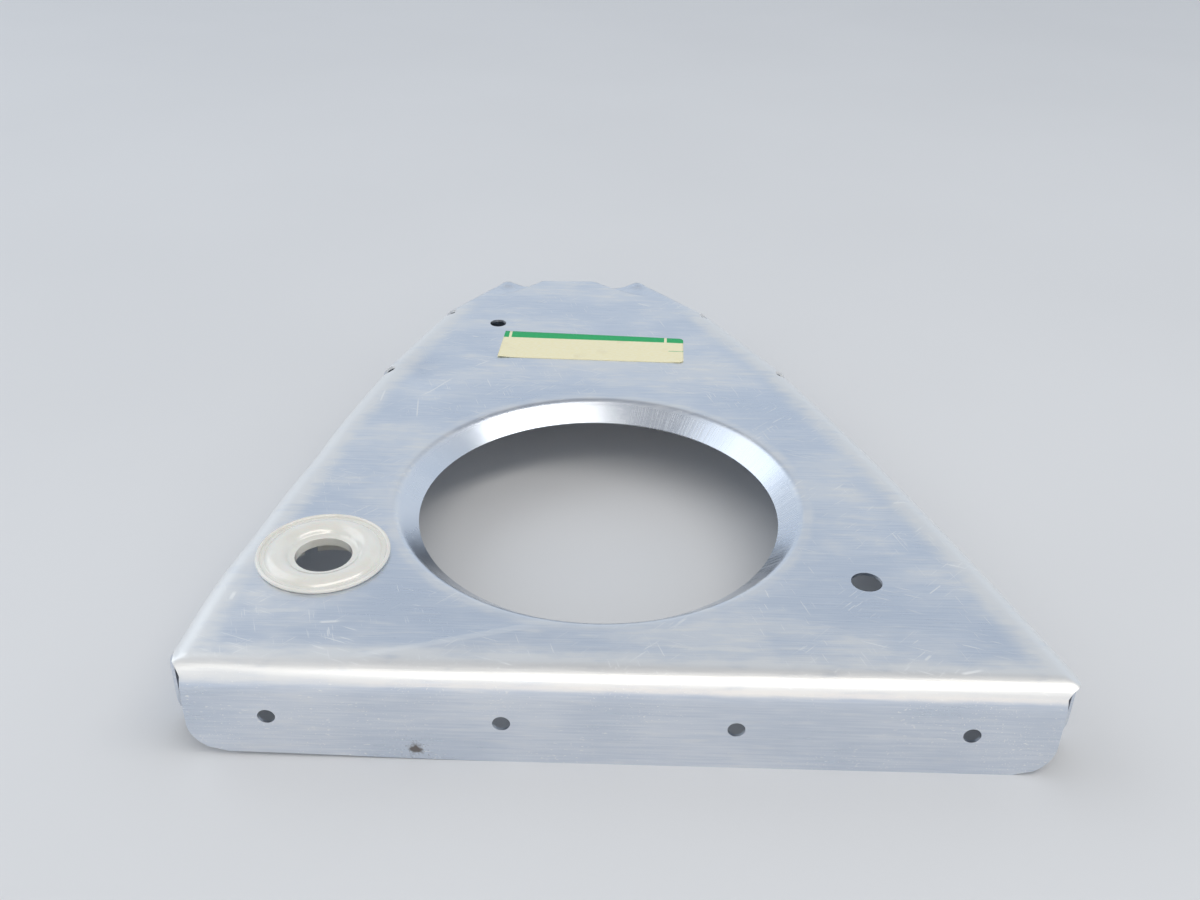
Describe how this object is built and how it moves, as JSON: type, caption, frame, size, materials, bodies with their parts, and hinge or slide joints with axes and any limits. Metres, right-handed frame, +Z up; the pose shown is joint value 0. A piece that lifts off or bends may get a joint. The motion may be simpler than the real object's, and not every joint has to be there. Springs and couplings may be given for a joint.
{
  "type": "aircraft nose rib",
  "caption": "Pressed aluminium nose rib with bent flanges, a flanged lightening hole, tooling holes, rivet holes along the spar flange, a snap-in grommet and a blank paper label.",
  "frame": {"origin": "centre of the bounding box in plan, at the lower edges of the flanges, on which the rib rests", "axes": "+Z up out of the web, +Y from the spar flange towards the nose, +X along the spar flange to the viewer's right"},
  "size_m": [0.1676, 0.1814, 0.0214],
  "materials": {
    "rib": "satin rolled sheet with fine scratches",
    "grommet": "semi-gloss moulded nylon",
    "paper_label": "matt cream paper with a green stripe"
  },
  "bodies": {
    "root": {"rib": "rib", "grommet": "grommet", "paper_label": "paper_label"}
  },
  "joints": []
}
